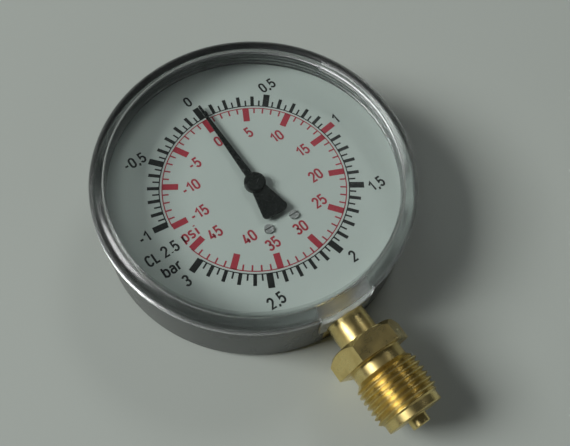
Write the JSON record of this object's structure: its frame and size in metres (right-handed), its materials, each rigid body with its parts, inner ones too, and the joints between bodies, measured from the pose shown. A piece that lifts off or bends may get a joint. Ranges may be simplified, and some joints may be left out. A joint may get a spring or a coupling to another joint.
{
  "type": "pressure gauge",
  "caption": "Round dial pressure gauge with a clear push-fit window, a black case and a bottom brass pipe thread, and a bourdon tube that turns its pointer through a geared movement.",
  "frame": {"origin": "centre of the case's back face, on the pointer's axis", "axes": "+Z out of the dial, -Y along the stem, +X at three o'clock on the dial"},
  "size_m": [0.1024, 0.1402, 0.0306],
  "materials": {
    "case_black": "satin black moulding",
    "window_clear": "clear, polished",
    "dial_white": "white with a printed scale",
    "pointer_black": "black, satin",
    "brass": "turned and milled",
    "tube_bronze": "drawn bronze",
    "steel": "turned"
  },
  "bodies": {
    "gauge_body": {"case": "case_black", "window": "window_clear", "dial": "dial_white", "dial_screws": "steel", "dial_posts": "brass", "socket": "brass", "case_screws": "steel", "bourdon_tube": "tube_bronze", "movement_back_plate": "brass", "movement_front_plate": "brass", "movement_pillars": "brass", "front_plate_screws": "steel", "movement_screws": "steel", "hairspring_stud": "brass"},
    "pointer_set": {"pinion_arbor": "brass", "hairspring_collet": "brass", "hairspring": "tube_bronze", "pointer_bush": "brass", "pointer": "pointer_black"},
    "sector_set": {"sector_gear": "brass", "sector_arbor": "brass", "tail_pin": "steel"},
    "link_bar": {"link": "steel"},
    "tip_set": {"tube_tip": "brass", "tip_pin": "steel"}
  },
  "joints": [
    {"name": "sector_pivot", "type": "hinge", "parent": "gauge_body", "child": "sector_set", "pos_m": [0, -0.02416, 0], "axis": [0, 0, 1], "range_deg": [-8.25, 24.75], "stiffness_Nm_per_rad": 0.02},
    {"name": "pointer_spin", "type": "hinge", "parent": "gauge_body", "child": "pointer_set", "pos_m": [0, 0, 0], "axis": [0, 0, -1], "range_deg": [-82.5, 247.5], "deforming": ["hairspring"]},
    {"name": "link_pivot", "type": "hinge", "parent": "sector_set", "child": "link_bar", "pos_m": [-0.00105, -0.03142, 0], "axis": [0, 0, 1], "range_deg": [-19.41, 6.47]},
    {"name": "tip_bend", "type": "hinge", "parent": "gauge_body", "child": "tip_set", "pos_m": [-0.00429, 0.00715, 0], "axis": [0, 0, 1], "range_deg": [-1.55, 4.65], "deforming": ["bourdon_tube"]}
  ],
  "couplings": [
    {"joint": "pointer_spin", "follows": "sector_pivot", "ratio": 10},
    {"joint": "link_pivot", "follows": "sector_pivot", "ratio": -0.784},
    {"joint": "tip_bend", "follows": "sector_pivot", "ratio": 0.1875}
  ]
}
